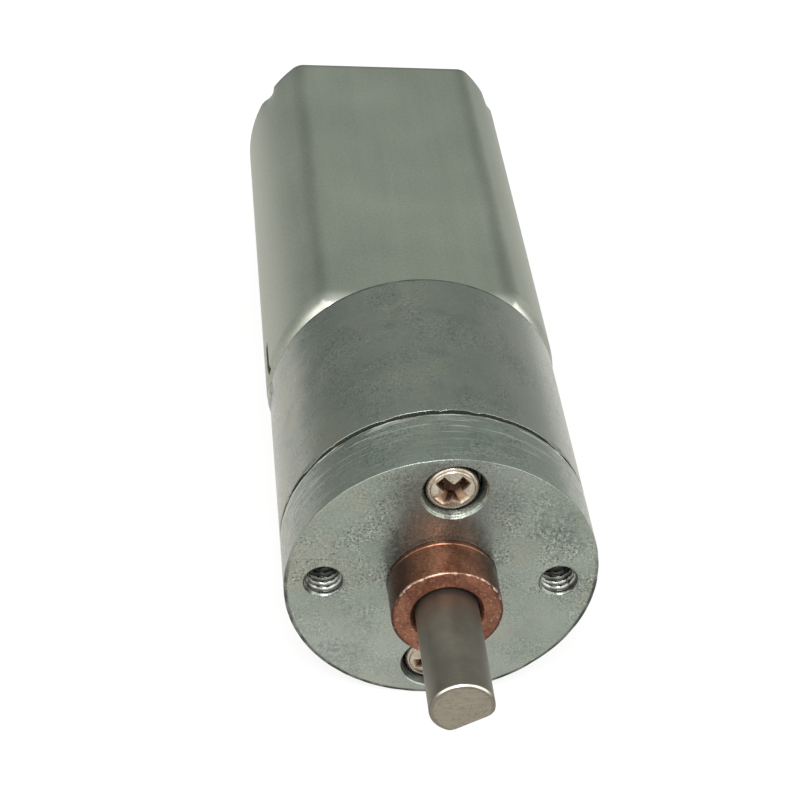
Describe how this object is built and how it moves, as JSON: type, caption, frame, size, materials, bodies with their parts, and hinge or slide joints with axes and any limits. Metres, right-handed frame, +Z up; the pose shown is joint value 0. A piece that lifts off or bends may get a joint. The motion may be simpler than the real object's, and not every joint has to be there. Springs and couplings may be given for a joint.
{
  "type": "gearmotor",
  "caption": "Round spur gearmotor: flat-sided DC motor can, die-cast gearbox with tapped front face, bronze bushing and D-cut output shaft.",
  "frame": {"origin": "middle of the bottom of the object's box, as it lies with its axis level and the can's flats level", "axes": "-Y along the output shaft towards its tip, +Z up square to the can's flats, X along the line of the two tapped holes"},
  "size_m": [0.0204, 0.0678, 0.02],
  "materials": {
    "die_cast_zinc": "as-cast zinc, satin",
    "die_cast_zinc_housing": "as-cast zinc, smoother satin",
    "plated_steel_can": "satin plated",
    "shaft_steel": "ground, satin",
    "nickel_screw": "nickel plated",
    "sintered_bronze": "sintered, oiled",
    "gear_steel": "machined",
    "brass": "machined",
    "core_laminations": "oxidised",
    "copper": "enamelled wire and bare copper",
    "resin": "moulded",
    "ferrite": "sintered ferrite",
    "nylon": "moulded",
    "carbon": "pressed carbon",
    "spring_bronze": "rolled strip",
    "tinned_brass": "tinned"
  },
  "bodies": {
    "housing": {"front_cover": "die_cast_zinc", "output_bushing": "sintered_bronze", "cover_screw_1": "nickel_screw", "cover_screw_2": "nickel_screw", "gear_housing": "die_cast_zinc_housing", "gear_pin_a": "shaft_steel", "gear_pin_b": "shaft_steel", "pin_a_spacer": "shaft_steel", "pin_b_spacer": "shaft_steel", "motor_screw_1": "shaft_steel", "motor_screw_2": "shaft_steel", "motor_can": "plated_steel_can", "front_bearing": "sintered_bronze", "rear_bearing": "sintered_bronze", "magnet_left": "ferrite", "magnet_right": "ferrite", "end_cap": "nylon", "brush_left": "carbon", "brush_right": "carbon", "brush_spring_left": "spring_bronze", "brush_spring_right": "spring_bronze", "terminal_left": "tinned_brass", "terminal_right": "tinned_brass"},
    "rotor": {"motor_shaft": "shaft_steel", "motor_pinion": "brass", "rotor_core": "core_laminations", "winding_1": "copper", "winding_2": "copper", "winding_3": "copper", "commutator_hub": "resin", "commutator_segment_1": "copper", "commutator_segment_2": "copper", "commutator_segment_3": "copper", "rotor_washer_front": "resin", "rotor_washer_rear": "resin"},
    "stage_1": {"compound_gear_1": "gear_steel"},
    "stage_2": {"compound_gear_2": "gear_steel"},
    "stage_3": {"compound_gear_3": "gear_steel"},
    "stage_4": {"compound_gear_4": "gear_steel"},
    "output": {"output_shaft": "shaft_steel", "output_wheel": "gear_steel", "output_washer": "shaft_steel"}
  },
  "joints": [
    {"name": "rotor_spin", "type": "hinge", "parent": "housing", "child": "rotor", "pos_m": [0, 0.00709, 0.01], "axis": [0, -1, 0], "continuous": true},
    {"name": "stage_1_spin", "type": "hinge", "parent": "housing", "child": "stage_1", "pos_m": [0.00434, -0.00872, 0.00749], "axis": [0, -1, 0], "continuous": true},
    {"name": "stage_2_spin", "type": "hinge", "parent": "housing", "child": "stage_2", "pos_m": [0.00434, -0.01107, 0.01251], "axis": [0, -1, 0], "continuous": true},
    {"name": "stage_3_spin", "type": "hinge", "parent": "housing", "child": "stage_3", "pos_m": [0.00434, -0.01343, 0.00749], "axis": [0, -1, 0], "continuous": true},
    {"name": "stage_4_spin", "type": "hinge", "parent": "housing", "child": "stage_4", "pos_m": [0.00434, -0.01578, 0.01251], "axis": [0, -1, 0], "continuous": true},
    {"name": "output_spin", "type": "hinge", "parent": "housing", "child": "output", "pos_m": [0, -0.02291, 0.01], "axis": [0, -1, 0], "continuous": true}
  ],
  "couplings": [
    {"joint": "stage_1_spin", "follows": "rotor_spin", "ratio": -0.43478},
    {"joint": "stage_2_spin", "follows": "rotor_spin", "ratio": 0.18904},
    {"joint": "stage_3_spin", "follows": "rotor_spin", "ratio": -0.08219},
    {"joint": "stage_4_spin", "follows": "rotor_spin", "ratio": 0.035735},
    {"joint": "output_spin", "follows": "rotor_spin", "ratio": -0.015537}
  ]
}
